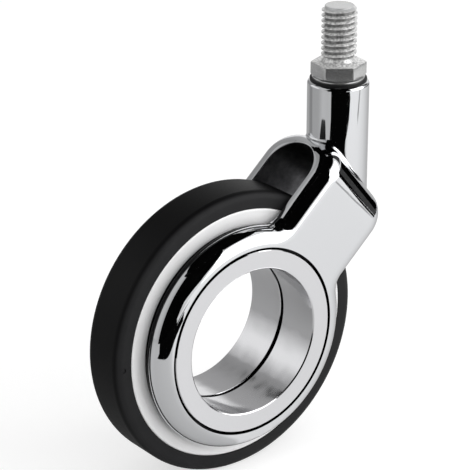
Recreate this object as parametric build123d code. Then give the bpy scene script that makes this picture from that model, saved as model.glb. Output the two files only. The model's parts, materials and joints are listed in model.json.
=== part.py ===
from build123d import *
import os
from math import cos, radians, sin, tan

# A castor for furniture: a die-cast fork with an open hub, a thin rubber-tyred wheel that turns on
# that hub, and a threaded stem on which the fork swivels.
# The origin is the middle of the hexagon's top face, which seats against the furniture. +Z points up
# the stud, the axle lies along Y, and the wheel trails towards -X.

# Wheel and tyre
wheel_diameter = 65.0
tyre_width = 11.3
tyre_side = 3.75            # bare height of the tyre's side, from the rim ring to the tread
tyre_shoulder = 1.8
tyre_step = 0.6             # how far the rim ring's edge stands over the tyre's seat
tyre_key_width = 3.2
tyre_key_depth = 1.2
gate_mark_diameter = 1.1
gate_mark_depth = 0.25
rim_ring_thickness = 1.3
rim_ring_width = 4.9
rim_ring_dish = 0.35
rim_clip_thickness = 0.9
rim_clip_length = 1.7
rim_edge_round = 0.4
core_depth = 7.9            # wheel core, from its bore to the tyre's seat

# Open hub
hub_flange_rim = 4.35       # bore to flange edge
hub_flange_thickness = 2.0
hub_groove = 0.45           # shadow line round the flange
hub_edge_chamfer = 0.25     # edges of the bore, the seam and the flange
sleeve_wall = 2.15
seam_width = 0.7            # shadow line where the two halves meet in the bore
spigot_length = 3.0
spigot_depth = 0.65         # bore wall to the spigot's inside
spigot_wall = 0.7
wheel_bush_wall = 1.25
wheel_bush_collar = 2.2
wheel_bush_collar_thickness = 0.85
wheel_bush_gap = 1.0        # between the two bushes inside the core

# Fork
fork_width = 22.2
wheel_slot = 13.4
slot_edge_round = 0.3
edge_round = 4.0            # round of every outer edge of the casting
eye_land = 0.1              # flat left between the hub's recess and the round of the eye
arm_lean = 42.0             # angle of the arms above the horizontal
arm_front = 12.7            # axle to the arms' leading face, square to the arms
arm_rear = 11.6
arm_blend = 4.0
crown_clearance = 9.6       # tread to the top of the arch
crown_wall = 2.7
crown_shoulder = 7.9
crown_tilt = 2.0            # how far the crown dips towards the rear, off square to the arms
housing_diameter = 13.8
housing_length = 19.5       # crown to rim, on the swivel axis
housing_forward = 1.05      # swivel axis ahead of the crown's middle
housing_rim_round = 0.8
housing_foot_round = 0.5    # fillet where the housing stands on the crown

# Stem and swivel
thread_diameter = 7.9
thread_length = 12.8
thread_end_chamfer = 0.75
neck_diameter = 6.6
neck_length = 2.0
hex_across_flats = 10.7
hex_height = 3.2
hex_turn = -37.8
hex_corner_angle = 30.0
journal_diameter = 8.0
swivel_bush_wall = 1.45
swivel_bush_collar = 0.85
swivel_bush_collar_thickness = 0.55
swivel_bush_gap = 3.6       # between the upper and the lower bush
washer_diameter = 11.8
washer_thickness = 0.35
snap_ring_thickness = 0.8
snap_ring_width = 1.3
snap_ring_opening = 40.0
snap_groove_depth = 0.6
journal_tip = 1.0           # journal below the snap ring
bore_floor_wall = 1.2       # casting left between the housing's bore and the arch
bore_end_gap = 0.7

# Clearances
seat_clearance = 0.02       # pressed and clipped seats
running_clearance = 0.05    # bearing surfaces, on the radius
swivel_play = 0.05
side_play = 0.3             # wheel bush to fork, each side

# Radii and half widths that follow
wheel_radius = wheel_diameter / 2
rim_radius = wheel_radius - tyre_side
tyre_seat = rim_radius - tyre_step
half_tyre = tyre_width / 2
half_rim = half_tyre - rim_ring_thickness
half_fork = fork_width / 2
half_slot = wheel_slot / 2
core_radius = tyre_seat - seat_clearance
core_bore = core_radius - core_depth
bush_radius = core_bore - seat_clearance
bush_bore = bush_radius - wheel_bush_wall
sleeve_radius = bush_bore - running_clearance
bore_radius = sleeve_radius - sleeve_wall
flange_radius = bore_radius + hub_flange_rim
recess_radius = flange_radius + hub_groove
recess_floor = half_fork - hub_flange_thickness
eye_radius = recess_radius + eye_land + edge_round
collar_outside = half_slot - side_play
collar_inside = collar_outside - wheel_bush_collar_thickness
housing_radius = housing_diameter / 2
journal_radius = journal_diameter / 2
swivel_bore = journal_radius + running_clearance
housing_bore = swivel_bore + swivel_bush_wall

# Where the arms, the crown and the swivel axis lie. Distances along the arms run from the axle
# towards the crown, and distances across them run towards the leading face.
lean = radians(arm_lean)
arch_top = wheel_radius + crown_clearance
crown_top = arch_top + crown_wall
axis_across = (arm_front - arm_rear) / 2 + housing_forward
trail = crown_top * cos(lean) - axis_across * sin(lean)
crown_rise = crown_top * sin(lean) + axis_across * cos(lean)
washer_top = -hex_height - swivel_play
collar_top = washer_top - washer_thickness
housing_top = collar_top - swivel_bush_collar_thickness
axle = Vector(-trail, 0, housing_top - housing_length - crown_rise)
up_arm = Vector(cos(lean), 0, sin(lean))
across_arm = Vector(-sin(lean), 0, cos(lean))
arm_section = Plane(origin=axle, x_dir=(0, -1, 0), z_dir=across_arm)


def turned(*outline):
    """Solid turned about the axle from points of radius and place along Y."""
    return Pos(axle) * revolve(make_face(Polyline(*outline, close=True)), Axis.Y)


def turned_upright(*outline):
    """Solid turned about the swivel axis from points of radius and height."""
    return revolve(Plane.XZ * make_face(Polyline(*outline, close=True)), Axis.Z)


def other_side(solid):
    """The same piece on the far side of the wheel."""
    return mirror(solid, about=Plane.XZ)


def sharp_edges(solid):
    """Edges at which two faces meet at an angle, without seams and smooth joins."""
    found = ShapeList()
    for edge in solid.edges():
        beside = [face for face in solid.faces() if any(edge.is_same(rim) for rim in face.edges())]
        if len(beside) == 2:
            middle = edge.position_at(0.5)
            first = beside[0].normal_at(middle)
            second = beside[1].normal_at(middle)
            if first.get_angle(second) > 5:
                found.append(edge)
    return found


# Fork: one casting. The crown and both arms are a rounded block that runs into two round eyes, the
# wheel's slot is cut through it under a round arch, and the upright housing stands on the crown.
crown_outline = Rectangle(fork_width, crown_top, align=(Align.CENTER, Align.MIN))
crown_outline = fillet(crown_outline.vertices().group_by(Axis.Y)[-1], crown_shoulder)
crown_lean = lean - radians(crown_tilt)
crown_section = Plane(origin=axle, x_dir=(0, -1, 0), z_dir=(-sin(crown_lean), 0, cos(crown_lean)))
arms = extrude(crown_section * crown_outline, amount=crown_top, both=True)
slab = Rectangle(2 * crown_top, 4 * crown_top)
arms &= extrude(arm_section.offset(-arm_rear) * slab, amount=arm_front + arm_rear)
eyes = turned((0, -half_fork), (eye_radius, -half_fork), (eye_radius, half_fork), (0, half_fork))
casting = arms + eyes
arm_roots = ShapeList()
for edge in casting.edges().filter_by(Axis.Y):
    across = (edge.center() - axle).dot(across_arm)
    along = (edge.center() - axle).dot(up_arm)
    on_arm = abs(across - arm_front) < 0.01 or abs(across + arm_rear) < 0.01
    if on_arm and along < arch_top:
        arm_roots.append(edge)
casting = fillet(arm_roots, arm_blend)
casting = fillet(sharp_edges(casting), edge_round)

housing = Cylinder(
    housing_radius, housing_length + crown_rise, align=(Align.CENTER, Align.CENTER, Align.MAX)
)
housing = fillet(housing.edges().group_by(Axis.Z)[-1], housing_rim_round)
housing = Pos(0, 0, housing_top) * housing
above_crown = (housing - casting).solids().sort_by(Axis.Z)[-1]
casting = casting + above_crown
casting = fillet(sharp_edges(casting), housing_foot_round)

arch_centre = arch_top - half_slot
slot_reach = 2 * wheel_diameter
slot_outline = Pos(0, arch_centre) * Circle(half_slot)
slot_outline += Pos(0, arch_centre) * Rectangle(
    wheel_slot, slot_reach, align=(Align.CENTER, Align.MAX)
)
casting -= extrude(arm_section * slot_outline, amount=slot_reach, both=True)
casting = fillet(sharp_edges(casting), slot_edge_round)

eye_bore = sleeve_radius + seat_clearance
casting -= turned((0, -half_fork), (eye_bore, -half_fork), (eye_bore, half_fork), (0, half_fork))
recess = turned(
    (0, -half_fork), (recess_radius, -half_fork), (recess_radius, -recess_floor), (0, -recess_floor)
)
casting -= recess + other_side(recess)

bore_floor = axle.Z + (arch_top + bore_floor_wall - (trail - housing_bore) * cos(lean)) / sin(lean)
casting -= turned_upright(
    (0, bore_floor), (housing_bore, bore_floor), (housing_bore, housing_top), (0, housing_top)
)
fork = casting

# Threaded stem: a turned steel stud with a hexagon for the spanner. Its thread is drawn at the
# crests, and its lower end is the journal on which the fork swivels.
thread_radius = thread_diameter / 2
neck_radius = neck_diameter / 2
end_radius = thread_radius - thread_end_chamfer
neck_taper = neck_length + thread_radius - neck_radius
stud = turned_upright(
    (0, -hex_height), (neck_radius, -hex_height), (neck_radius, neck_length),
    (thread_radius, neck_taper), (thread_radius, thread_length - thread_end_chamfer),
    (end_radius, thread_length), (0, thread_length)
)
half_flats = hex_across_flats / 2
hexagon = RegularPolygon(half_flats, 6, major_radius=False, rotation=hex_turn)
hexagon = extrude(hexagon, -hex_height)
hex_rise = half_flats * tan(radians(hex_corner_angle))
hexagon &= turned_upright(
    (0, -hex_height), (half_flats, -hex_height), (hex_across_flats, hex_rise - hex_height), (0, hex_rise)
)
journal_end = bore_floor + bore_end_gap
groove_floor = journal_end + journal_tip
groove_top = groove_floor + snap_ring_thickness + 2 * swivel_play
groove_radius = journal_radius - snap_groove_depth
journal = turned_upright(
    (0, -hex_height), (journal_radius, -hex_height), (journal_radius, groove_top),
    (groove_radius, groove_top), (groove_radius, groove_floor), (journal_radius, groove_floor),
    (journal_radius, journal_end), (0, journal_end)
)
threaded_stem = stud + hexagon + journal

# Snap ring: spring steel, open on one side, in the journal's groove below the lower bush.
ring_floor = groove_floor + swivel_play
ring_bore = groove_radius + running_clearance
ring_section = Pos(ring_bore, ring_floor) * Rectangle(
    snap_ring_width, snap_ring_thickness, align=(Align.MIN, Align.MIN)
)
snap_ring = revolve(Plane.XZ * ring_section, Axis.Z, 360 - snap_ring_opening)

# Thrust washer: a flat steel ring between the hexagon and the upper bush.
thrust_washer = turned_upright(
    (swivel_bore, collar_top), (washer_diameter / 2, collar_top),
    (washer_diameter / 2, washer_top), (swivel_bore, washer_top)
)

# Swivel bushes: two plastic sleeves pressed into the housing. The upper one has a collar that carries
# the load, and the lower one stops just above the snap ring.
pressed_radius = housing_bore - seat_clearance
collar_radius = housing_bore + swivel_bush_collar
lower_bush_end = groove_top + swivel_play
bush_length = (housing_top - lower_bush_end - swivel_bush_gap) / 2
upper_swivel_bush = turned_upright(
    (swivel_bore, housing_top - bush_length), (pressed_radius, housing_top - bush_length),
    (pressed_radius, housing_top), (collar_radius, housing_top),
    (collar_radius, collar_top), (swivel_bore, collar_top)
)
lower_swivel_bush = turned_upright(
    (swivel_bore, lower_bush_end), (pressed_radius, lower_bush_end),
    (pressed_radius, lower_bush_end + bush_length), (swivel_bore, lower_bush_end + bush_length)
)

# Hub halves: two flanged sleeves pushed into the eyes from outside. The front one carries a thin
# spigot that is pressed into a groove in the end of the rear one.
half_seam = seam_width / 2
seam_corner = half_seam + hub_edge_chamfer
spigot_inside = bore_radius + spigot_depth
spigot_outside = spigot_inside + spigot_wall
mouth = bore_radius + hub_edge_chamfer
rim_corner = flange_radius - hub_edge_chamfer
chamfer_depth = half_fork - hub_edge_chamfer
front_hub_half = turned(
    (mouth, -half_fork), (rim_corner, -half_fork), (flange_radius, -chamfer_depth),
    (flange_radius, -recess_floor), (sleeve_radius, -recess_floor),
    (sleeve_radius, -half_seam), (spigot_outside, -half_seam),
    (spigot_outside, spigot_length), (spigot_inside, spigot_length), (spigot_inside, -half_seam),
    (mouth, -half_seam), (bore_radius, -seam_corner), (bore_radius, -chamfer_depth)
)
socket_inside = spigot_inside - seat_clearance
socket_outside = spigot_outside + seat_clearance
socket_floor = spigot_length + seat_clearance
rear_hub_half = turned(
    (mouth, half_fork), (rim_corner, half_fork), (flange_radius, chamfer_depth),
    (flange_radius, recess_floor), (sleeve_radius, recess_floor),
    (sleeve_radius, -half_seam), (socket_outside, -half_seam),
    (socket_outside, socket_floor), (socket_inside, socket_floor), (socket_inside, half_seam),
    (mouth, half_seam), (bore_radius, seam_corner), (bore_radius, chamfer_depth)
)

# Wheel bushes: two collared plastic sleeves pressed into the wheel core, which turn on the hub. The
# collars run against the fork.
collar_edge = bush_radius + wheel_bush_collar
front_wheel_bush = turned(
    (bush_bore, -collar_outside), (collar_edge, -collar_outside), (collar_edge, -collar_inside),
    (bush_radius, -collar_inside), (bush_radius, -wheel_bush_gap / 2), (bush_bore, -wheel_bush_gap / 2)
)
rear_wheel_bush = other_side(front_wheel_bush)

# Wheel core: a moulded nylon ring. Its hub is as wide as the collars allow, and its rim is lower by
# the rim rings that clip into a groove in each side.
core_hub = rim_radius - rim_ring_width - seat_clearance
clip_inside = rim_radius - rim_ring_width / 2 - rim_clip_thickness / 2
clip_outside = clip_inside + rim_clip_thickness
clip_end = half_rim - rim_clip_length
key_floor = core_radius - tyre_key_depth
half_key = tyre_key_width / 2
wheel_core = turned(
    (core_bore, -collar_inside), (core_hub, -collar_inside), (core_hub, -half_rim),
    (core_radius, -half_rim), (core_radius, half_rim), (core_hub, half_rim),
    (core_hub, collar_inside), (core_bore, collar_inside)
)
groove_inside = clip_inside - seat_clearance
groove_outside = clip_outside + seat_clearance
groove_end = clip_end - seat_clearance
clip_groove = turned(
    (groove_inside, -half_rim), (groove_outside, -half_rim),
    (groove_outside, -groove_end), (groove_inside, -groove_end)
)
key_groove = turned(
    (key_floor, -half_key), (core_radius, -half_key), (core_radius, half_key), (key_floor, half_key)
)
wheel_core -= clip_groove + other_side(clip_groove) + key_groove

# Rim rings: bright plated covers, slightly dished, each with a round clip behind.
ring_inner = rim_radius - rim_ring_width
ring_outer = rim_radius - seat_clearance
ring_face = turned(
    (ring_inner, -half_rim), (ring_outer, -half_rim), (ring_outer, -half_tyre),
    (ring_inner, rim_ring_dish - half_tyre)
)
ring_face = fillet(ring_face.edges().group_by(Axis.Y)[0], rim_edge_round)
ring_clip = turned(
    (clip_inside, -half_rim), (clip_outside, -half_rim), (clip_outside, -clip_end), (clip_inside, -clip_end)
)
front_rim_ring = ring_face + ring_clip
rear_rim_ring = other_side(front_rim_ring)

# Tyre: moulded rubber, keyed into the core, with a flat tread and square sides. A small round gate
# mark is left in its front side.
key_tip = key_floor + seat_clearance
key_side = half_key - seat_clearance
tyre_outline = Polyline(
    (rim_radius, -half_tyre), (wheel_radius, -half_tyre), (wheel_radius, half_tyre),
    (rim_radius, half_tyre), (rim_radius, half_rim), (tyre_seat, half_rim), (tyre_seat, key_side),
    (key_tip, key_side), (key_tip, -key_side), (tyre_seat, -key_side), (tyre_seat, -half_rim),
    (rim_radius, -half_rim), close=True
)
tyre_section = make_face(tyre_outline)
tyre_section = fillet(tyre_section.vertices().group_by(Axis.X)[-1], tyre_shoulder)
tyre = Pos(axle) * revolve(tyre_section, Axis.Y)
gate_place = axle + Vector(-(rim_radius + wheel_radius) / 2, -half_tyre, 0)
gate_mark = Cylinder(gate_mark_diameter / 2, 2 * gate_mark_depth, rotation=(90, 0, 0))
tyre -= Pos(gate_place) * gate_mark

nodes = {
    "threaded_stem": threaded_stem,
    "snap_ring": snap_ring,
    "thrust_washer": thrust_washer,
    "upper_swivel_bush": upper_swivel_bush,
    "lower_swivel_bush": lower_swivel_bush,
    "fork": fork,
    "front_hub_half": front_hub_half,
    "rear_hub_half": rear_hub_half,
    "front_wheel_bush": front_wheel_bush,
    "rear_wheel_bush": rear_wheel_bush,
    "wheel_core": wheel_core,
    "front_rim_ring": front_rim_ring,
    "rear_rim_ring": rear_rim_ring,
    "tyre": tyre,
}

os.makedirs("parts", exist_ok=True)
for name, solid in nodes.items():
    export_step(solid, f"parts/{name}.step")
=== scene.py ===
import json
import math
import bpy
from mathutils import Matrix, Vector


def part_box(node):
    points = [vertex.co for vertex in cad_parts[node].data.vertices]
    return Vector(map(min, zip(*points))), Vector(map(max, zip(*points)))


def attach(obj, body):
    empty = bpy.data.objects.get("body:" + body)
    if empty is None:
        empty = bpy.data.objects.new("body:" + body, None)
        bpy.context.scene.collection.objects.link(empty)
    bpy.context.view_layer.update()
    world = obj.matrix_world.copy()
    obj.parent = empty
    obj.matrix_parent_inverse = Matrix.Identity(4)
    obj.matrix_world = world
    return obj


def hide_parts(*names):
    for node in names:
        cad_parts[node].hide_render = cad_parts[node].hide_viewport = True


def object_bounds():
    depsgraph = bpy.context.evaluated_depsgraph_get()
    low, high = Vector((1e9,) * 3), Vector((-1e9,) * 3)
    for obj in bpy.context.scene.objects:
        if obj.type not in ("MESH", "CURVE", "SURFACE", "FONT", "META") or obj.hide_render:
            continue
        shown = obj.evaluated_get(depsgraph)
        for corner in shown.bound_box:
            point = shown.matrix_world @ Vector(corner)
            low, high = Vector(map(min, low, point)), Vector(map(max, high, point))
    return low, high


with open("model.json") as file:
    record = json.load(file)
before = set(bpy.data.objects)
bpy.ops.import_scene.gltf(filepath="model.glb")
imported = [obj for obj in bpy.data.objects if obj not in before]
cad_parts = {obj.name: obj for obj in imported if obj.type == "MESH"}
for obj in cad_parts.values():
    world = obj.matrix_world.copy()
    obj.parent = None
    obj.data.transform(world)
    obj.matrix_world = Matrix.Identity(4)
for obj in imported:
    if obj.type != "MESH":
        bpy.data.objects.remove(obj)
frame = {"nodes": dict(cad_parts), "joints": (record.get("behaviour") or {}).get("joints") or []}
nodes = frame["nodes"]
cad_box = [list(corner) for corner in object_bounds()]
bpy.ops.object.select_all(action="DESELECT")


# Fork: one zinc die casting with the swivel housing, the arched crown, both arms and both eyes.
# It is ground and polished by hand, then plated with nickel and bright chrome. Its shape is the
# solid's own, and the plating is what the eye sees.
def linear(code):
    """An sRGB hex colour as linear red, green, blue and alpha."""
    parts = [int(code[i:i + 2], 16) / 255 for i in (1, 3, 5)]
    return [p / 12.92 if p <= 0.04045 else ((p + 0.055) / 1.055) ** 2.4 for p in parts] + [1.0]


def add_node(tree, kind, settings, links):
    """Adds a node. Settings are its properties or input values, links feed inputs from outputs."""
    made = tree.nodes.new(kind)
    for key, value in settings.items():
        if isinstance(key, str) and hasattr(made, key):
            setattr(made, key, value)
        else:
            made.inputs[key].default_value = value
    for key, output in links.items():
        tree.links.new(output, made.inputs[key])
    return made


def dress(piece, material):
    """Gives a piece its one material."""
    piece.data.materials.clear()
    piece.data.materials.append(material)


# Polished chrome plate: a mirror that shows the studio with hard edges. Hand polishing leaves a
# slow waviness some 7 mm long and a faint haze in patches, which keep the mirror from looking drawn.
# The wheel tunnel can't be reached with the polishing wheel: there the plate is thin, dark and dull
# over the mottled skin of the casting. The narrow recess round the hub's flange and the eye's edge in
# the gap towards the wheel are drawn near black as painted shade.
axle = Vector(next(j for j in frame["joints"] if j["name"] == "wheel_roll")["pos_m"])
arm_lean = math.radians(42)
tunnel_radius = 0.0067
tunnel_centre = 0.0354
flange_groove = 0.00045
flange_low, flange_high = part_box("front_hub_half")
recess_radius = (flange_high.x - flange_low.x) / 2 + flange_groove
eye_edge_depth = 0.0009
eye_edge_radius = recess_radius + 0.0044
chrome_plate = bpy.data.materials.new("polished_chrome_plate")
chrome_plate.use_nodes = True
tree = chrome_plate.node_tree
plating = tree.nodes["Principled BSDF"]
plating.inputs["Metallic"].default_value = 1.0
place = add_node(tree, "ShaderNodeTexCoord", {}, {})
from_axle = add_node(tree, "ShaderNodeMapping", {"vector_type": "TEXTURE", "Location": axle,
                                                 "Rotation": (0, -arm_lean, 0)},
                     {"Vector": place.outputs["Object"]})
arm_place = add_node(tree, "ShaderNodeSeparateXYZ", {}, {0: from_axle.outputs["Vector"]})
past_centre = add_node(tree, "ShaderNodeMath", {"operation": "SUBTRACT", 1: tunnel_centre},
                       {0: arm_place.outputs["X"]})
past_centre = add_node(tree, "ShaderNodeMath", {"operation": "MAXIMUM", 1: 0.0},
                       {0: past_centre.outputs[0]})
off_tunnel = add_node(tree, "ShaderNodeCombineXYZ", {},
                      {"X": past_centre.outputs[0], "Y": arm_place.outputs["Y"]})
off_tunnel = add_node(tree, "ShaderNodeVectorMath", {"operation": "LENGTH"},
                      {0: off_tunnel.outputs["Vector"]})
in_tunnel = add_node(tree, "ShaderNodeMapRange", {"From Min": tunnel_radius + 0.0001,
                                                  "From Max": tunnel_radius + 0.0003,
                                                  "To Min": 1.0, "To Max": 0.0},
                     {"Value": off_tunnel.outputs["Value"]})
off_axle = add_node(tree, "ShaderNodeVectorMath", {"operation": "MULTIPLY", 1: (1, 0, 1)},
                    {0: from_axle.outputs["Vector"]})
off_axle = add_node(tree, "ShaderNodeVectorMath", {"operation": "LENGTH"},
                    {0: off_axle.outputs["Vector"]})
# Painted shade: inside the recess round the hub's flange the plate is drawn near black.
painted_recess_shade = add_node(tree, "ShaderNodeMapRange", {"From Min": recess_radius + 0.00002,
                                                  "From Max": recess_radius + 0.00006,
                                                  "To Min": 1.0, "To Max": 0.0},
                     {"Value": off_axle.outputs["Value"]})
off_middle = add_node(tree, "ShaderNodeMath", {"operation": "ABSOLUTE"}, {0: arm_place.outputs["Y"]})
# Painted shade: the eye's edge in the gap towards the wheel is drawn near black.
wheel_side = add_node(tree, "ShaderNodeMath", {"operation": "LESS_THAN",
                                               1: tunnel_radius + eye_edge_depth},
                      {0: off_middle.outputs[0]})
on_eye = add_node(tree, "ShaderNodeMath", {"operation": "LESS_THAN", 1: eye_edge_radius},
                  {0: off_axle.outputs["Value"]})
eye_edge = add_node(tree, "ShaderNodeMath", {"operation": "MULTIPLY"},
                    {0: wheel_side.outputs[0], 1: on_eye.outputs[0]})
in_shadow = add_node(tree, "ShaderNodeMath", {"operation": "MAXIMUM"},
                     {0: painted_recess_shade.outputs["Result"], 1: eye_edge.outputs[0]})
as_cast = add_node(tree, "ShaderNodeTexNoise", {"Scale": 1 / 0.0015, "Detail": 3.0, "Roughness": 0.6},
                   {"Vector": place.outputs["Object"]})
cast_tone = add_node(tree, "ShaderNodeMix", {"data_type": "RGBA", 6: linear("#3e3e41"),
                                             7: linear("#8e8e90")},
                     {0: as_cast.outputs["Fac"]})
tunnel_tone = add_node(tree, "ShaderNodeMix", {"data_type": "RGBA", 6: linear("#dadbdd")},
                       {0: in_tunnel.outputs["Result"], 7: cast_tone.outputs[2]})
# The recess and eye edge masks mix in the near black painted shade colour.
plate_tone = add_node(tree, "ShaderNodeMix", {"data_type": "RGBA", 7: linear("#1a1a1b")},
                      {0: in_shadow.outputs[0], 6: tunnel_tone.outputs[2]})
tree.links.new(plate_tone.outputs[2], plating.inputs["Base Color"])
haze = add_node(tree, "ShaderNodeTexNoise", {"Scale": 1 / 0.004, "Detail": 4.0},
                {"Vector": place.outputs["Object"]})
haze_range = add_node(tree, "ShaderNodeMapRange", {"From Min": 0.35, "From Max": 0.75,
                                                   "To Min": 0.02, "To Max": 0.06},
                      {"Value": haze.outputs["Fac"]})
plate_gloss = add_node(tree, "ShaderNodeMix", {3: 0.3},
                       {0: in_tunnel.outputs["Result"], 2: haze_range.outputs["Result"]})
tree.links.new(plate_gloss.outputs[0], plating.inputs["Roughness"])
polish_wave = add_node(tree, "ShaderNodeTexNoise", {"Scale": 1 / 0.007, "Detail": 1.0},
                       {"Vector": place.outputs["Object"]})
polish_bump = add_node(tree, "ShaderNodeBump", {"Strength": 1.0, "Distance": 0.000012},
                       {"Height": polish_wave.outputs["Fac"]})
tree.links.new(polish_bump.outputs["Normal"], plating.inputs["Normal"])
dress(nodes["fork"], chrome_plate)


# Swivel bushes: two collared nylon sleeves pressed into the housing from above and below.
# Only the collar of the upper one shows, as the dark band under the hexagon.
# Moulded black nylon: a dull black with a faint cloudiness and a fine eroded grain of about 0.15 mm.
black_nylon = bpy.data.materials.new("moulded_black_nylon")
black_nylon.use_nodes = True
tree = black_nylon.node_tree
nylon = tree.nodes["Principled BSDF"]
nylon.inputs["IOR"].default_value = 1.53
nylon.inputs["Specular IOR Level"].default_value = 0.25
place = add_node(tree, "ShaderNodeTexCoord", {}, {})
cloud = add_node(tree, "ShaderNodeTexNoise", {"Scale": 1 / 0.003, "Detail": 3.0},
                 {"Vector": place.outputs["Object"]})
nylon_tone = add_node(tree, "ShaderNodeMix", {"data_type": "RGBA", 6: linear("#0d0d0e"),
                                              7: linear("#151516")},
                      {0: cloud.outputs["Fac"]})
tree.links.new(nylon_tone.outputs[2], nylon.inputs["Base Color"])
nylon_gloss = add_node(tree, "ShaderNodeMapRange", {"To Min": 0.48, "To Max": 0.62},
                       {"Value": cloud.outputs["Fac"]})
tree.links.new(nylon_gloss.outputs["Result"], nylon.inputs["Roughness"])
eroded = add_node(tree, "ShaderNodeTexNoise", {"Scale": 1 / 0.00015, "Detail": 2.0},
                  {"Vector": place.outputs["Object"]})
eroded_bump = add_node(tree, "ShaderNodeBump", {"Strength": 0.25, "Distance": 0.00002},
                       {"Height": eroded.outputs["Fac"]})
tree.links.new(eroded_bump.outputs["Normal"], nylon.inputs["Normal"])
for bush in ("upper_swivel_bush", "lower_swivel_bush", "front_wheel_bush", "rear_wheel_bush"):
    dress(nodes[bush], black_nylon)


# Threaded stem: turned from hexagon bar and zinc plated. The stud has a rolled M8 thread with a
# chamfered end, the hexagon takes the spanner, and the journal below turns in the two bushes.
# The thread is a ridge wound round the stud's core and cut to the stud's turned outline.
turned_sides = 96


def turned(name, steps):
    """A turned solid about the swivel axis, from (radius, height) steps in mm, bottom to top."""
    radius, height = steps[0]
    bpy.ops.mesh.primitive_circle_add(vertices=turned_sides, radius=radius / 1000, fill_type="NGON",
                                      location=(0, 0, height / 1000))
    piece = bpy.context.object
    piece.name = name
    bpy.ops.object.transform_apply(location=True, rotation=True, scale=True)
    bpy.ops.object.mode_set(mode="EDIT")
    bpy.ops.mesh.select_all(action="SELECT")
    for next_radius, next_height in steps[1:]:
        rise = (next_height - height) / 1000
        grow = next_radius / radius
        bpy.ops.mesh.extrude_region_move(TRANSFORM_OT_translate={"value": (0, 0, rise)})
        bpy.ops.transform.resize(value=(grow, grow, 1), center_override=(0, 0, next_height / 1000))
        radius, height = next_radius, next_height
    bpy.ops.mesh.select_all(action="SELECT")
    bpy.ops.mesh.normals_make_consistent(inside=False)
    bpy.ops.object.mode_set(mode="OBJECT")
    piece.select_set(False)
    return piece


def combine(piece, other, operation):
    """Joins, cuts or trims a piece by another one, which is used up."""
    bpy.ops.object.select_all(action="DESELECT")
    bpy.context.view_layer.objects.active = piece
    piece.select_set(True)
    cut = piece.modifiers.new("cut", "BOOLEAN")
    cut.operation = operation
    cut.solver = "EXACT"
    cut.object = other
    bpy.ops.object.modifier_apply(modifier=cut.name)
    piece.select_set(False)
    bpy.data.objects.remove(other)


thread_pitch = 1.25
crest_radius = 3.95
root_radius = 3.2
ridge_foot_share = 0.86
ridge_crest_share = 0.14
thread_turns = 11
thread_steps = 72
thread_start = 1.2
stud_end = 12.8
end_chamfer = 0.75
hex_height = 3.2
hex_flats = 10.7
hex_turn = math.radians(-37.8)
journal_radius = 4.0
journal_chamfer = 0.5
groove_radius = 3.4
groove_play = 0.05
shoulder_radius = 4.35
neck = [(3.85, 0.22), (3.5, 0.55), (3.35, 0.95)]
journal_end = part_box("threaded_stem")[0].z * 1000
snap_low, snap_high = (corner.z * 1000 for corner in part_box("snap_ring"))
groove_low = snap_low - groove_play
groove_high = snap_high + groove_play
stem = turned("zinc_plated_stem", [
    (journal_radius - journal_chamfer, journal_end), (journal_radius, journal_end + journal_chamfer),
    (journal_radius, groove_low), (groove_radius, groove_low), (groove_radius, groove_high),
    (journal_radius, groove_high), (journal_radius, -1.0), (shoulder_radius, -0.99),
    (shoulder_radius, 0.0), *neck, (root_radius, thread_start), (root_radius, stud_end - 0.05),
    (root_radius - 0.05, stud_end)])

bpy.ops.mesh.primitive_cylinder_add(vertices=6, radius=hex_flats / 2000 / math.cos(math.pi / 6),
                                    depth=hex_height / 1000, location=(0, 0, -hex_height / 2000),
                                    rotation=(0, 0, hex_turn + math.pi / 6))
hexagon = bpy.context.object
bpy.ops.object.transform_apply(location=True, rotation=True, scale=True)
hexagon.select_set(False)
hex_corner = hex_flats / 2 / math.cos(math.pi / 6)
corner_drop = (hex_corner - hex_flats / 2 + 0.05) * math.tan(math.pi / 6)
corner_round = turned("corner_round", [
    (hex_flats / 2 - 0.05, -hex_height), (hex_corner, corner_drop - hex_height),
    (hex_corner, -0.12), (hex_corner - 0.3, 0.0)])
combine(hexagon, corner_round, "INTERSECT")
hex_edges = hexagon.modifiers.new("hex_edges", "BEVEL")
hex_edges.width = 0.00018
hex_edges.segments = 3
hex_edges.limit_method = "ANGLE"
hex_edges.angle_limit = math.radians(35)
bpy.context.view_layer.objects.active = hexagon
bpy.ops.object.modifier_apply(modifier=hex_edges.name)

bpy.ops.mesh.primitive_plane_add(size=1, rotation=(math.pi / 2, 0, 0))
ridge = bpy.context.object
bpy.ops.object.transform_apply(location=True, rotation=True, scale=True)
ridge_base = root_radius - 0.25
ridge_height = crest_radius + 0.05 - ridge_base
bpy.ops.object.mode_set(mode="EDIT")
bpy.ops.mesh.select_all(action="SELECT")
bpy.ops.transform.resize(value=(ridge_height / 1000, 1, ridge_foot_share * thread_pitch / 1000),
                         center_override=(0, 0, 0))
bpy.ops.transform.translate(value=((ridge_base + ridge_height / 2) / 1000, 0, 0))
bpy.ops.mesh.select_all(action="DESELECT")
bpy.ops.object.mode_set(mode="OBJECT")
for corner in ridge.data.vertices:
    corner.select = corner.co.x > root_radius / 1000
bpy.ops.object.mode_set(mode="EDIT")
bpy.ops.mesh.select_mode(type="VERT")
bpy.ops.transform.resize(value=(1, 1, ridge_crest_share), center_override=(0, 0, 0))
bpy.ops.mesh.select_all(action="SELECT")
bpy.ops.mesh.delete(type="ONLY_FACE")
bpy.ops.object.mode_set(mode="OBJECT")
winding = ridge.modifiers.new("winding", "SCREW")
winding.axis = "Z"
winding.angle = 2 * math.pi
winding.screw_offset = thread_pitch / 1000
winding.iterations = thread_turns
winding.steps = thread_steps
winding.render_steps = thread_steps
winding.use_normal_calculate = True
bpy.ops.object.modifier_apply(modifier=winding.name)
bpy.ops.object.mode_set(mode="EDIT")
bpy.ops.mesh.select_all(action="DESELECT")
bpy.ops.mesh.select_non_manifold()
bpy.ops.mesh.fill_holes(sides=8)
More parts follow.
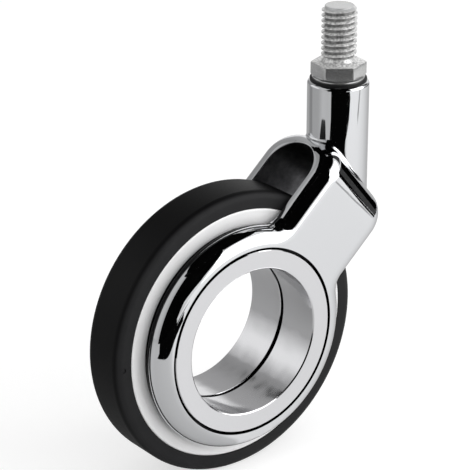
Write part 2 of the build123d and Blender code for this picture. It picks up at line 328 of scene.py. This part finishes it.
bpy.ops.mesh.select_all(action="SELECT")
bpy.ops.mesh.normals_make_consistent(inside=False)
bpy.ops.object.mode_set(mode="OBJECT")
ridge.select_set(False)
stud_outline = turned("stud_outline", [
    (3.0, thread_start), (crest_radius, 1.75), (crest_radius, stud_end - end_chamfer),
    (3.1, stud_end - 0.05)])
combine(ridge, stud_outline, "INTERSECT")
combine(stem, ridge, "UNION")
combine(stem, hexagon, "UNION")
bpy.ops.object.select_all(action="DESELECT")
bpy.context.view_layer.objects.active = stem
stem.select_set(True)
bpy.ops.object.shade_smooth_by_angle(angle=math.radians(28))
stem.select_set(False)

# Bright zinc plate on turned steel: a soft grey metal with a dull sheen. The plating lies in patches
# of slightly warm and cool grey about 4 mm wide over a fine crystalline grain of 0.12 mm. On the
# rolled thread its crystals sparkle, drawn 0.5 mm wide so that they show, and the roots are darkened
# with painted shade.
zinc_plate = bpy.data.materials.new("bright_zinc_plate")
zinc_plate.use_nodes = True
tree = zinc_plate.node_tree
zinc = tree.nodes["Principled BSDF"]
place = add_node(tree, "ShaderNodeTexCoord", {}, {})
patches = add_node(tree, "ShaderNodeTexNoise", {"Scale": 1 / 0.004, "Detail": 3.0},
                   {"Vector": place.outputs["Object"]})
zinc_tone = add_node(tree, "ShaderNodeMix", {"data_type": "RGBA", 6: linear("#cfcfcd"),
                                             7: linear("#dbdcde")},
                     {0: patches.outputs["Fac"]})
stem_place = add_node(tree, "ShaderNodeSeparateXYZ", {}, {0: place.outputs["Object"]})
on_thread = add_node(tree, "ShaderNodeMapRange", {"From Min": -0.0002, "From Max": -0.00002},
                     {"Value": stem_place.outputs["Z"]})
off_swivel = add_node(tree, "ShaderNodeVectorMath", {"operation": "MULTIPLY", 1: (1, 1, 0)},
                      {0: place.outputs["Object"]})
off_swivel = add_node(tree, "ShaderNodeVectorMath", {"operation": "LENGTH"},
                      {0: off_swivel.outputs["Vector"]})
# Painted shade: the thread roots, between neck and chamfer, are drawn dark grey.
painted_root_shade = add_node(tree, "ShaderNodeMapRange", {"From Min": root_radius / 1000,
                                                "From Max": root_radius / 1000 + 0.00035,
                                                "To Min": 0.72, "To Max": 0.0},
                   {"Value": off_swivel.outputs["Value"]})
above_neck = add_node(tree, "ShaderNodeMapRange", {"From Min": 0.0009, "From Max": 0.0014},
                      {"Value": stem_place.outputs["Z"]})
below_end = add_node(tree, "ShaderNodeMapRange", {"From Min": stud_end / 1000 - 0.0008,
                                                  "From Max": stud_end / 1000 - 0.0005,
                                                  "To Min": 1.0, "To Max": 0.0},
                     {"Value": stem_place.outputs["Z"]})
painted_root_shade = add_node(tree, "ShaderNodeMath", {"operation": "MULTIPLY"},
                   {0: painted_root_shade.outputs["Result"], 1: above_neck.outputs["Result"]})
painted_root_shade = add_node(tree, "ShaderNodeMath", {"operation": "MULTIPLY"},
                   {0: painted_root_shade.outputs[0], 1: below_end.outputs["Result"]})
crystals = add_node(tree, "ShaderNodeTexNoise", {"Scale": 1 / 0.0005, "Detail": 2.0},
                    {"Vector": place.outputs["Object"]})
crystal_share = add_node(tree, "ShaderNodeMapRange", {"From Min": 0.4, "From Max": 0.6},
                         {"Value": crystals.outputs["Fac"]})
crystal_tone = add_node(tree, "ShaderNodeMix", {"data_type": "RGBA", 6: linear("#bababa"),
                                                7: linear("#fbfbfa")},
                        {0: crystal_share.outputs["Result"]})
on_flanks = add_node(tree, "ShaderNodeMath", {"operation": "MULTIPLY"},
                     {0: on_thread.outputs["Result"], 1: below_end.outputs["Result"]})
stud_tone = add_node(tree, "ShaderNodeMix", {"data_type": "RGBA"},
                     {0: on_flanks.outputs[0], 6: zinc_tone.outputs[2], 7: crystal_tone.outputs[2]})
# The painted shade in the thread roots is mixed in here.
root_shade_tone = add_node(tree, "ShaderNodeMix", {"data_type": "RGBA", 7: linear("#3c3c3b")},
                       {0: painted_root_shade.outputs[0], 6: stud_tone.outputs[2]})
tree.links.new(root_shade_tone.outputs[2], zinc.inputs["Base Color"])
zinc_shine = add_node(tree, "ShaderNodeMapRange", {"To Min": 0.87, "To Max": 0.38},
                      {"Value": on_thread.outputs["Result"]})
tree.links.new(zinc_shine.outputs["Result"], zinc.inputs["Metallic"])
grain = add_node(tree, "ShaderNodeTexNoise", {"Scale": 1 / 0.00012, "Detail": 2.0},
                 {"Vector": place.outputs["Object"]})
zinc_gloss = add_node(tree, "ShaderNodeMapRange", {"To Min": 0.18, "To Max": 0.32},
                      {"Value": grain.outputs["Fac"]})
tree.links.new(zinc_gloss.outputs["Result"], zinc.inputs["Roughness"])
grain_bump = add_node(tree, "ShaderNodeBump", {"Strength": 0.3, "Distance": 0.00001},
                      {"Height": grain.outputs["Fac"]})
tree.links.new(grain_bump.outputs["Normal"], zinc.inputs["Normal"])
dress(stem, zinc_plate)
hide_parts("threaded_stem")
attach(stem, "stem")


# Thrust washer: a thin pressed steel ring between the hexagon and the bush's collar.
# It is zinc plated like the stem and shows as a fine light line in the dark band.
dress(nodes["thrust_washer"], zinc_plate)


# Snap ring: an open ring of spring steel in the journal's groove, which keeps the stem in the fork.
# Oiled spring steel: a dark blue-grey metal with a brown cast in patches and a dull shine.
oiled_steel = bpy.data.materials.new("oiled_spring_steel")
oiled_steel.use_nodes = True
tree = oiled_steel.node_tree
spring = tree.nodes["Principled BSDF"]
spring.inputs["Metallic"].default_value = 1.0
spring.inputs["Roughness"].default_value = 0.35
place = add_node(tree, "ShaderNodeTexCoord", {}, {})
tempering = add_node(tree, "ShaderNodeTexNoise", {"Scale": 1 / 0.002, "Detail": 3.0},
                     {"Vector": place.outputs["Object"]})
spring_tone = add_node(tree, "ShaderNodeMix", {"data_type": "RGBA", 6: linear("#54565c"),
                                               7: linear("#655f5a")},
                       {0: tempering.outputs["Fac"]})
tree.links.new(spring_tone.outputs[2], spring.inputs["Base Color"])
dress(nodes["snap_ring"], oiled_steel)


# Wheel core: an injection moulded nylon ring that carries the tyre, the rim rings and the bushes.
# It is seen only in the gap between the fork's eye and the rim.
# Grey glass filled nylon: dull dark grey with short pale fibres of 0.3 mm just under the skin.
grey_nylon = bpy.data.materials.new("glass_filled_grey_nylon")
grey_nylon.use_nodes = True
tree = grey_nylon.node_tree
core_skin = tree.nodes["Principled BSDF"]
core_skin.inputs["IOR"].default_value = 1.53
core_skin.inputs["Roughness"].default_value = 0.5
place = add_node(tree, "ShaderNodeTexCoord", {}, {})
fibres = add_node(tree, "ShaderNodeTexNoise", {"Scale": 1 / 0.0003, "Detail": 3.0, "Distortion": 1.5},
                  {"Vector": place.outputs["Object"]})
core_tone = add_node(tree, "ShaderNodeMix", {"data_type": "RGBA", 6: linear("#3a3a3c"),
                                             7: linear("#474749")},
                     {0: fibres.outputs["Fac"]})
tree.links.new(core_tone.outputs[2], core_skin.inputs["Base Color"])
dress(nodes["wheel_core"], grey_nylon)


# Tyre: black rubber moulded onto the core, with a flat tread, round shoulders and a small gate mark.
# Moulded black rubber with a satin skin: near black on the tread and a little greyer on the sides.
# Its grain is 0.3 mm, a slow mottling of some 6 mm lies under it.
tyre_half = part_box("tyre")[1].y
black_rubber = bpy.data.materials.new("moulded_black_rubber")
black_rubber.use_nodes = True
tree = black_rubber.node_tree
rubber = tree.nodes["Principled BSDF"]
rubber.inputs["IOR"].default_value = 1.52
rubber.inputs["Specular IOR Level"].default_value = 0.08
place = add_node(tree, "ShaderNodeTexCoord", {}, {})
tyre_place = add_node(tree, "ShaderNodeSeparateXYZ", {}, {0: place.outputs["Object"]})
off_middle = add_node(tree, "ShaderNodeMath", {"operation": "ABSOLUTE"}, {0: tyre_place.outputs["Y"]})
# The sides, near the tyre's faces, are drawn a little greyer than the tread.
side_mask = add_node(tree, "ShaderNodeMapRange", {"From Min": tyre_half - 0.001,
                                                  "From Max": tyre_half - 0.0004},
                     {"Value": off_middle.outputs[0]})
mottle = add_node(tree, "ShaderNodeTexNoise", {"Scale": 1 / 0.006, "Detail": 4.0},
                  {"Vector": place.outputs["Object"]})
tread_tone = add_node(tree, "ShaderNodeMix", {"data_type": "RGBA", 6: linear("#09090a"),
                                              7: linear("#101011")},
                      {0: mottle.outputs["Fac"]})
side_tone = add_node(tree, "ShaderNodeMix", {"data_type": "RGBA", 6: linear("#222223"),
                                             7: linear("#2b2b2c")},
                     {0: mottle.outputs["Fac"]})
rubber_tone = add_node(tree, "ShaderNodeMix", {"data_type": "RGBA"},
                       {0: side_mask.outputs["Result"], 6: tread_tone.outputs[2],
                        7: side_tone.outputs[2]})
tree.links.new(rubber_tone.outputs[2], rubber.inputs["Base Color"])
skin = add_node(tree, "ShaderNodeTexNoise", {"Scale": 1 / 0.0003, "Detail": 3.0},
                {"Vector": place.outputs["Object"]})
skin_gloss = add_node(tree, "ShaderNodeMapRange", {"To Min": 0.38, "To Max": 0.52},
                      {"Value": skin.outputs["Fac"]})
tree.links.new(skin_gloss.outputs["Result"], rubber.inputs["Roughness"])
skin_bump = add_node(tree, "ShaderNodeBump", {"Strength": 0.35, "Distance": 0.00003},
                     {"Height": skin.outputs["Fac"]})
tree.links.new(skin_bump.outputs["Normal"], rubber.inputs["Normal"])
dress(nodes["tyre"], black_rubber)


# Rim rings: pressed rings clipped to the core on either side, between the fork's eye and the tyre.
# Silver lacquer on a spun ring: aluminium flake in a clear binder, almost white and satin, so that it
# takes no sharp reflection. Under it lie the circular marks of the spinning tool. They are drawn
# 0.4 mm apart, twice as coarse as the real ones, so that they show. The inner edge, in the gap round
# the fork's eye, is drawn near black as painted shade.
painted_gap_shade_radius = recess_radius + 0.0033
silver_lacquer = bpy.data.materials.new("satin_silver_lacquer")
silver_lacquer.use_nodes = True
tree = silver_lacquer.node_tree
lacquer = tree.nodes["Principled BSDF"]
lacquer.inputs["Metallic"].default_value = 0.15
place = add_node(tree, "ShaderNodeTexCoord", {}, {})
flake = add_node(tree, "ShaderNodeTexNoise", {"Scale": 1 / 0.0002, "Detail": 2.0},
                 {"Vector": place.outputs["Object"]})
lacquer_tone = add_node(tree, "ShaderNodeMix", {"data_type": "RGBA", 6: linear("#eeeeef"),
                                                7: linear("#f7f7f7")},
                        {0: flake.outputs["Fac"]})
from_axle = add_node(tree, "ShaderNodeMapping", {"Location": (-axle.x, 0, -axle.z), "Scale": (1, 0, 1)},
                     {"Vector": place.outputs["Object"]})
radius_here = add_node(tree, "ShaderNodeVectorMath", {"operation": "LENGTH"},
                       {0: from_axle.outputs["Vector"]})
# Painted shade: inside this radius, in the gap round the fork's eye, the ring is drawn near black.
painted_gap_shade = add_node(tree, "ShaderNodeMapRange", {"From Min": painted_gap_shade_radius,
                                               "From Max": painted_gap_shade_radius + 0.0002,
                                               "To Min": 1.0, "To Max": 0.0},
                  {"Value": radius_here.outputs["Value"]})
rim_tone = add_node(tree, "ShaderNodeMix", {"data_type": "RGBA", 7: linear("#101011")},
                    {0: painted_gap_shade.outputs["Result"], 6: lacquer_tone.outputs[2]})
tree.links.new(rim_tone.outputs[2], lacquer.inputs["Base Color"])
tool_marks = add_node(tree, "ShaderNodeTexNoise", {"noise_dimensions": "1D", "Scale": 1 / 0.0004,
                                                   "Detail": 2.0},
                      {"W": radius_here.outputs["Value"]})
ring_gloss = add_node(tree, "ShaderNodeMapRange", {"To Min": 0.34, "To Max": 0.44},
                      {"Value": tool_marks.outputs["Fac"]})
tree.links.new(ring_gloss.outputs["Result"], lacquer.inputs["Roughness"])
ring_bump = add_node(tree, "ShaderNodeBump", {"Strength": 0.3, "Distance": 0.000006},
                     {"Height": tool_marks.outputs["Fac"]})
tree.links.new(ring_bump.outputs["Normal"], lacquer.inputs["Normal"])
for ring in ("front_rim_ring", "rear_rim_ring"):
    dress(nodes[ring], silver_lacquer)


# Hub halves: two flanged sleeves, turned and chromed, pressed in from either side until they meet
# at the dark seam. The flange is polished with the fork's eye and the open bore is left as turned.
# Satin chrome: turning lines 0.3 mm apart and a slow waviness of 5 mm blur and bend the bore's
# reflections, and the flange keeps a bright shine. The seam between the halves with its edges, and
# the flange's rim in the shadow line round it, are drawn near black as painted shade.
bore_radius = 0.01676
seam_depth = 0.0001
seam_half_width = 0.0008
wave_over_lines = 30.0
flange_edge = recess_radius - 0.00056
satin_chrome = bpy.data.materials.new("satin_chrome_plate")
satin_chrome.use_nodes = True
tree = satin_chrome.node_tree
hub_plate = tree.nodes["Principled BSDF"]
hub_plate.inputs["Metallic"].default_value = 1.0
place = add_node(tree, "ShaderNodeTexCoord", {}, {})
from_axle = add_node(tree, "ShaderNodeMapping", {"Location": (-axle.x, 0, -axle.z), "Scale": (1, 0, 1)},
                     {"Vector": place.outputs["Object"]})
radius_here = add_node(tree, "ShaderNodeVectorMath", {"operation": "LENGTH"},
                       {0: from_axle.outputs["Vector"]})
along = add_node(tree, "ShaderNodeSeparateXYZ", {}, {0: place.outputs["Object"]})
off_seam = add_node(tree, "ShaderNodeMath", {"operation": "ABSOLUTE"}, {0: along.outputs["Y"]})
in_bore = add_node(tree, "ShaderNodeMapRange", {"From Min": bore_radius + 0.0001,
                                                "From Max": bore_radius + 0.0003,
                                                "To Min": 1.0, "To Max": 0.0},
                   {"Value": radius_here.outputs["Value"]})
# Painted shade: the seam with its edges and the flange's rim are drawn near black.
past_bore = add_node(tree, "ShaderNodeMath", {"operation": "GREATER_THAN", 1: bore_radius + seam_depth},
                     {0: radius_here.outputs["Value"]})
near_seam = add_node(tree, "ShaderNodeMath", {"operation": "LESS_THAN", 1: seam_half_width},
                     {0: off_seam.outputs[0]})
painted_seam_shade = add_node(tree, "ShaderNodeMath", {"operation": "MULTIPLY"},
                   {0: past_bore.outputs[0], 1: near_seam.outputs[0]})
past_flange = add_node(tree, "ShaderNodeMath", {"operation": "GREATER_THAN", 1: flange_edge},
                       {0: radius_here.outputs["Value"]})
in_shadow_line = add_node(tree, "ShaderNodeMath", {"operation": "MAXIMUM"},
                          {0: painted_seam_shade.outputs[0], 1: past_flange.outputs[0]})
hub_tone = add_node(tree, "ShaderNodeMix", {"data_type": "RGBA", 6: linear("#d8d8da"),
                                            7: linear("#161617")},
                    {0: in_shadow_line.outputs[0]})
tree.links.new(hub_tone.outputs[2], hub_plate.inputs["Base Color"])
hub_gloss = add_node(tree, "ShaderNodeMapRange", {"To Min": 0.06, "To Max": 0.13},
                     {"Value": in_bore.outputs["Result"]})
tree.links.new(hub_gloss.outputs["Result"], hub_plate.inputs["Roughness"])
turning = add_node(tree, "ShaderNodeTexNoise", {"noise_dimensions": "1D", "Scale": 1 / 0.0003,
                                                "Detail": 2.0},
                   {"W": along.outputs["Y"]})
wavering = add_node(tree, "ShaderNodeTexNoise", {"Scale": 1 / 0.005, "Detail": 1.0},
                    {"Vector": place.outputs["Object"]})
bore_height = add_node(tree, "ShaderNodeMath", {"operation": "MULTIPLY_ADD", 1: wave_over_lines},
                       {0: wavering.outputs["Fac"], 2: turning.outputs["Fac"]})
bore_height = add_node(tree, "ShaderNodeMath", {"operation": "MULTIPLY"},
                       {0: bore_height.outputs[0], 1: in_bore.outputs["Result"]})
bore_bump = add_node(tree, "ShaderNodeBump", {"Strength": 0.5, "Distance": 0.000008},
                     {"Height": bore_height.outputs[0]})
tree.links.new(bore_bump.outputs["Normal"], hub_plate.inputs["Normal"])
for half in ("front_hub_half", "rear_hub_half"):
    dress(nodes[half], satin_chrome)


# Studio floor: a pale matt table under the wheel, which takes the soft shadow. It reads white to the
# camera. For rays from the metal it also glows with a painted pool of light, brightest on the side of
# the soft box. Angles here and below are round the object, from the camera's side towards its right,
# in degrees.
camera_back = Vector((-0.567608, -0.731558, 0.377682))
camera_side = math.degrees(math.atan2(camera_back.y, camera_back.x))
floor_height = cad_box[0][2]
floor_width = 8
camera_lift = 0.58
bpy.ops.mesh.primitive_plane_add(size=floor_width, location=(0, 0, floor_height))
floor = bpy.context.object
floor.name = "studio_floor"
bpy.ops.object.transform_apply(location=True, rotation=True, scale=True)
floor.select_set(False)
pale_table = bpy.data.materials.new("pale_matt_table")
pale_table.use_nodes = True
tree = pale_table.node_tree
table_top = tree.nodes["Principled BSDF"]
table_top.inputs["Base Color"].default_value = linear("#c6c6c6")
table_top.inputs["Roughness"].default_value = 0.9
table_top.inputs["Specular IOR Level"].default_value = 0.0
table_top.inputs["Emission Color"].default_value = linear("#ffffff")
place = add_node(tree, "ShaderNodeTexCoord", {}, {})
round_object = add_node(tree, "ShaderNodeMapping", {"vector_type": "TEXTURE", "Location": axle,
                                                    "Rotation": (0, 0, math.radians(camera_side))},
                        {"Vector": place.outputs["Object"]})
round_angle = add_node(tree, "ShaderNodeTexGradient", {"gradient_type": "RADIAL"},
                       {"Vector": round_object.outputs["Vector"]})
# Painted light: an emission glow by angle round the object, seen only in the metal.
painted_light_pool = add_node(tree, "ShaderNodeValToRGB", {}, {"Fac": round_angle.outputs["Fac"]})
painted_pool_levels = (
    (-180, 0.1), (-168, 0.0), (-82, 0.0), (-60, 0.15), (-40, 0.1), (20, 0.13), (38, 0.2), (46, 0.48),
    (88, 0.44), (110, 0.32), (140, 0.05), (180, 0.1))
while len(painted_light_pool.color_ramp.elements) < len(painted_pool_levels):
    painted_light_pool.color_ramp.elements.new(0.5)
for stop, (angle, level) in zip(painted_light_pool.color_ramp.elements, painted_pool_levels):
    stop.position = (angle + 180) / 360
    stop.color = (level, level, level, 1.0)
off_wheel = add_node(tree, "ShaderNodeVectorMath", {"operation": "MULTIPLY", 1: (1, 1, 0)},
                     {0: round_object.outputs["Vector"]})
off_wheel = add_node(tree, "ShaderNodeVectorMath", {"operation": "LENGTH"},
                     {0: off_wheel.outputs["Vector"]})
far_enough = add_node(tree, "ShaderNodeMapRange", {"From Min": 0.0, "From Max": 0.012},
                      {"Value": off_wheel.outputs["Value"]})
glossy_lift = add_node(tree, "ShaderNodeMath", {"operation": "MULTIPLY"},
                       {0: painted_light_pool.outputs["Color"], 1: far_enough.outputs["Result"]})
ray = add_node(tree, "ShaderNodeLightPath", {}, {})
mirrored = add_node(tree, "ShaderNodeMath", {"operation": "MAXIMUM"},
                    {0: ray.outputs["Is Glossy Ray"], 1: ray.outputs["Is Transmission Ray"]})
mirrored = add_node(tree, "ShaderNodeMath", {"operation": "MULTIPLY"},
                    {0: mirrored.outputs[0], 1: glossy_lift.outputs[0]})
lift = add_node(tree, "ShaderNodeMath", {"operation": "MULTIPLY_ADD", 1: camera_lift},
                {0: ray.outputs["Is Camera Ray"], 2: mirrored.outputs[0]})
tree.links.new(lift.outputs[0], table_top.inputs["Emission Strength"])
dress(floor, pale_table)


# Flags and cards: what the mirror plating shows of the studio, as hard dark and pale bands. Black and
# grey cloths stand round the camera, close over the object and lie on the table, and a white card
# stands on its left. They shade nothing, light nothing and are seen only in the metal.
flag_cloths = []
for name, colour in (("black_flag_cloth", "#060606"), ("dark_grey_flag_cloth", "#525252"),
                     ("mid_grey_flag_cloth", "#a8a8a8")):
    flag_cloth = bpy.data.materials.new(name)
    flag_cloth.use_nodes = True
    cloth = flag_cloth.node_tree.nodes["Principled BSDF"]
    cloth.inputs["Base Color"].default_value = linear(colour)
    cloth.inputs["Roughness"].default_value = 1.0
    cloth.inputs["Specular IOR Level"].default_value = 0.0
    flag_cloths.append(flag_cloth)
flag_black, flag_grey, flag_mid = flag_cloths

# White reflector card: it glows by its own emission, a painted light that is brightest at half its
# height.
card_foot = -0.09
card_top = 0.38
glowing_card = bpy.data.materials.new("glowing_white_card")
glowing_card.use_nodes = True
tree = glowing_card.node_tree
card = tree.nodes["Principled BSDF"]
card.inputs["Base Color"].default_value = linear("#000000")
card.inputs["Specular IOR Level"].default_value = 0.0
card.inputs["Emission Color"].default_value = linear("#ffffff")
place = add_node(tree, "ShaderNodeTexCoord", {}, {})
card_place = add_node(tree, "ShaderNodeSeparateXYZ", {}, {0: place.outputs["Object"]})
card_height = add_node(tree, "ShaderNodeMapRange", {"From Min": card_foot, "From Max": card_top},
                       {"Value": card_place.outputs["Z"]})
card_light = add_node(tree, "ShaderNodeValToRGB", {}, {"Fac": card_height.outputs["Result"]})
card_levels = (
    (0.0, 0.52), (0.11, 0.66), (0.37, 0.92), (0.5, 1.05), (0.66, 1.05), (0.76, 0.9), (0.86, 0.66),
    (1.0, 0.36))
while len(card_light.color_ramp.elements) < len(card_levels):
    card_light.color_ramp.elements.new(0.5)
for stop, (height, level) in zip(card_light.color_ramp.elements, card_levels):
    stop.position = height
    stop.color = (level, level, level, 1.0)
# The painted light levels drive the card's emission.
tree.links.new(card_light.outputs["Color"], card.inputs["Emission Strength"])
object_middle = Vector((-0.015, 0, -0.04))
flag_distance = 0.6


def toward(round_angle, height):
    """The direction from the object at an angle round it from the camera and a height, in degrees."""
    turn = math.radians(camera_side + round_angle)
    rise = math.radians(height)
    return Vector((math.cos(turn) * math.cos(rise), math.sin(turn) * math.cos(rise), math.sin(rise)))


def hang_flag(name, left, right, low, high, material, lean=0):
    """A flag bent round the object, between two angles round it and two heights in degrees.
    Its right edge leans outwards to the top by some degrees."""
    bpy.ops.mesh.primitive_grid_add(x_subdivisions=60, y_subdivisions=40, size=2)
    panel = bpy.context.object
    panel.name = name
    for point in panel.data.vertices:
        up = (point.co.y + 1) / 2
        across = left + (right + lean * up - left) * (point.co.x + 1) / 2
        height = low + (high - low) * up
        point.co = object_middle + toward(across, height) * flag_distance
    panel.select_set(False)
    dress(panel, material)
    return panel


flags = [
    hang_flag("camera_flag_foot", -38, 28, -7, 6, flag_black),
    hang_flag("camera_flag", -38, 44, 6, 58, flag_black, lean=7),
    hang_flag("upper_left_flag", -64, -38, 55, 58, flag_black),
    hang_flag("overhead_flag", -180, 51, 58, 90, flag_black),
    hang_flag("upper_right_flag", 51, 118, 51, 90, flag_black),
    hang_flag("upper_far_flag", 118, 142, 12, 49, flag_grey),
    hang_flag("upper_far_top_flag", 118, 142, 49, 90, flag_black),
    hang_flag("upper_back_flag", 142, 180, 60, 90, flag_black),
    hang_flag("back_flag_right", 166, 182, 36, 58, flag_black),
    hang_flag("back_flag_left", 182, 230, 45, 58, flag_black),
    hang_flag("far_flag_front", 101, 109.5, -7, 6, flag_black),
    hang_flag("far_flag_middle", 109.5, 124.5, -7, 6, flag_grey),
    hang_flag("far_flag_back", 124.5, 145, -7, 6, flag_black),
    hang_flag("reflector", -124, -80, -7, 44, glowing_card),
]


cloth_thickness = 0.0003


def lay_flag(name, corners, material):
    """A flag on the table, from its corners in mm."""
    bpy.ops.mesh.primitive_circle_add(vertices=len(corners), radius=1, fill_type="NGON")
    panel = bpy.context.object
    panel.name = name
    for point, corner in zip(panel.data.vertices, corners):
        point.co = (corner[0] / 1000, corner[1] / 1000, floor_height + cloth_thickness)
    panel.select_set(False)
    dress(panel, material)
    return panel


flags += [
    lay_flag("table_flag", [
        (0, -110), (-30, -107), (-77, -104), (-128, -89), (-172, -53), (-205, -95), (-600, -260),
        (-600, -600), (-102, -600), (-45, -264), (10, -260), (26, -250), (10, -224), (-26, -206),
        (-30, -194), (2, -186)], flag_black),
    lay_flag("far_table_flag", [(378, -198), (521, -271), (555, 187), (403, 137)], flag_black),
    lay_flag("table_edge", [(140, -168), (340, -168), (340, -184), (140, -184)], flag_mid),
    lay_flag("back_table_flag", [(-50, 160), (-10, 560), (-220, 520), (-105, 140)], flag_mid),
    lay_flag("reflector_foot", [(-192, 359), (-280, 538), (-546, 280), (-369, 187)], glowing_card),
]
for panel in flags:
    panel.visible_camera = False
    panel.visible_diffuse = False
    panel.visible_transmission = False
    panel.visible_shadow = False


# Studio light: a large soft box to the right of the camera, a fill light over the camera that the metal
# doesn't show, and a pale room around, grey behind the object on its left. The backdrop reads white
# to the camera.
for name, width, height, strength, aim, distance, in_metal in (
        ("soft_box", 0.62, 0.61, 1.8, toward(77, 19), 0.6, True),
        ("fill_light", 0.7, 0.5, 0.7, toward(5, 25), 0.7, False)):
    lamp_data = bpy.data.lights.new(name, "AREA")
    lamp_data.shape = "RECTANGLE"
    lamp_data.size = width
    lamp_data.size_y = height
    lamp_data.energy = strength * math.pi * width * height
    lamp = bpy.data.objects.new(name, lamp_data)
    bpy.context.scene.collection.objects.link(lamp)
    lamp.location = object_middle + aim * distance
    lamp.rotation_euler = aim.to_track_quat("Z", "Y").to_euler()
    lamp.visible_camera = False
    lamp.visible_glossy = in_metal

room = bpy.data.worlds.new("pale_room")
bpy.context.scene.world = room
room.use_nodes = True
tree = room.node_tree
walls = tree.nodes["Background"]
place = add_node(tree, "ShaderNodeTexCoord", {}, {})
round_room = add_node(tree, "ShaderNodeMapping", {"vector_type": "TEXTURE",
                                                  "Rotation": (0, 0, math.radians(camera_side))},
                      {"Vector": place.outputs["Generated"]})
round_angle = add_node(tree, "ShaderNodeTexGradient", {"gradient_type": "RADIAL"},
                       {"Vector": round_room.outputs["Vector"]})
low_wall = add_node(tree, "ShaderNodeValToRGB", {}, {"Fac": round_angle.outputs["Fac"]})
high_wall = add_node(tree, "ShaderNodeValToRGB", {}, {"Fac": round_angle.outputs["Fac"]})
low_levels = (
    (-180, 1.0), (-168, 1.0), (-162, 0.32), (-130, 0.32), (-112, 0.55), (-85, 0.6), (-60, 0.62),
    (-38, 0.45), (45, 0.9), (105, 1.0), (150, 1.0), (180, 1.0))
high_levels = (
    (-180, 0.45), (-165, 0.42), (-140, 0.34), (-118, 0.36), (-100, 0.5), (-85, 0.6), (-60, 0.62),
    (-38, 0.45), (45, 0.9), (105, 1.0), (140, 0.9), (180, 0.45))
for wall, levels in ((low_wall, low_levels), (high_wall, high_levels)):
    while len(wall.color_ramp.elements) < len(levels):
        wall.color_ramp.elements.new(0.5)
    for stop, (angle, level) in zip(wall.color_ramp.elements, levels):
        stop.position = (angle + 180) / 360
        stop.color = (level, level, level, 1.0)
room_place = add_node(tree, "ShaderNodeSeparateXYZ", {}, {0: place.outputs["Generated"]})
height_share = add_node(tree, "ShaderNodeMapRange", {"From Min": math.sin(math.radians(15)),
                                                     "From Max": math.sin(math.radians(25))},
                        {"Value": room_place.outputs["Z"]})
wall_shade = add_node(tree, "ShaderNodeMix", {"data_type": "RGBA"},
                      {0: height_share.outputs["Result"], 6: low_wall.outputs["Color"],
                       7: high_wall.outputs["Color"]})
ray = add_node(tree, "ShaderNodeLightPath", {}, {})
wall_colour = add_node(tree, "ShaderNodeMix", {"data_type": "RGBA", 7: (1, 1, 1, 1)},
                       {0: ray.outputs["Is Camera Ray"], 6: wall_shade.outputs[2]})
tree.links.new(wall_colour.outputs[2], walls.inputs["Color"])


# Camera: as far off and as high as the photograph's, on a long lens, aimed past the wheel's axle.
camera_right = Vector((0.790075, -0.613010, 0.0))
camera_up = Vector((0.231523, 0.298397, 0.925935))
camera_from_axle = Vector((-0.25118, -0.32806, 0.19008))
image_width = 470
focal_pixels = 2054.53
sensor_width = 36
camera_data = bpy.data.cameras.new("photo_camera")
camera_data.sensor_fit = "HORIZONTAL"
camera_data.sensor_width = sensor_width
camera_data.lens = focal_pixels / image_width * sensor_width
camera_data.clip_start = 0.01
camera = bpy.data.objects.new("photo_camera", camera_data)
bpy.context.scene.collection.objects.link(camera)
camera_turn = Matrix((camera_right, camera_up, camera_back)).transposed()
camera.matrix_world = Matrix.Translation(axle + camera_from_axle) @ camera_turn.to_4x4()
bpy.context.scene.camera = camera
bpy.context.scene.view_settings.view_transform = "Standard"
